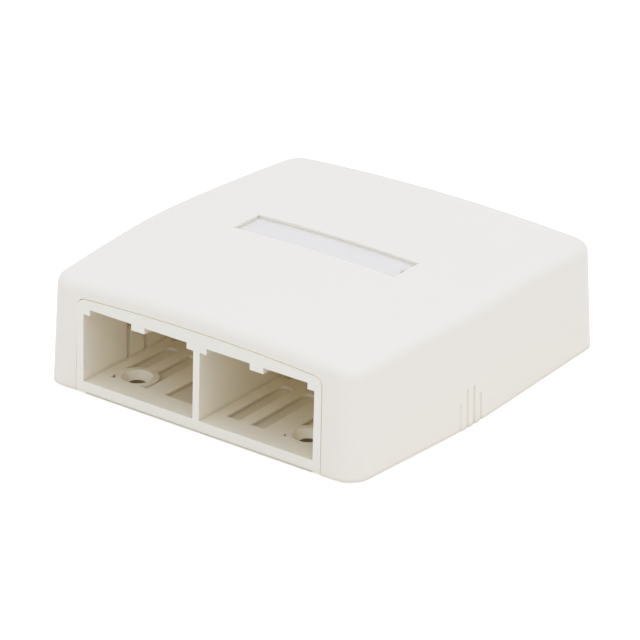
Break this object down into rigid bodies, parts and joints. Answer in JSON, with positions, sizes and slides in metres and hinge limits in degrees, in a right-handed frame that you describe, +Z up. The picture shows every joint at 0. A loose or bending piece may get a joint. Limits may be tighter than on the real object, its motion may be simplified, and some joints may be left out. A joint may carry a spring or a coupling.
{
  "type": "surface mount jack box",
  "caption": "Low crowned surface mount box for jack modules, with front openings, a clip-on cover, a label window and countersunk screw holes.",
  "frame": {"origin": "on the mounting surface, under the middle of the box", "axes": "+X to the right and +Z up as seen from the front, whose openings face -Y"},
  "size_m": [0.087, 0.0922, 0.0282],
  "materials": {
    "base_plastic": "smooth moulded",
    "cover_plastic": "fine textured",
    "label_paper": "matte",
    "clear_window": "clear",
    "pad_foam": "foam",
    "liner_paper": "matte"
  },
  "bodies": {
    "box_base": {"base": "base_plastic", "adhesive_pad_left": "pad_foam", "adhesive_pad_right": "pad_foam", "release_liner_left": "liner_paper", "release_liner_right": "liner_paper"},
    "box_cover": {"cover": "cover_plastic", "label": "label_paper"},
    "window": {"label_window": "clear_window"}
  },
  "joints": [
    {"name": "cover_lift", "type": "slide", "parent": "box_base", "child": "box_cover", "axis": [0, 0, 1], "range_m": [0, 0.036]},
    {"name": "window_lift", "type": "slide", "parent": "box_cover", "child": "window", "axis": [0, 0, 1], "range_m": [0, 0.006]}
  ]
}
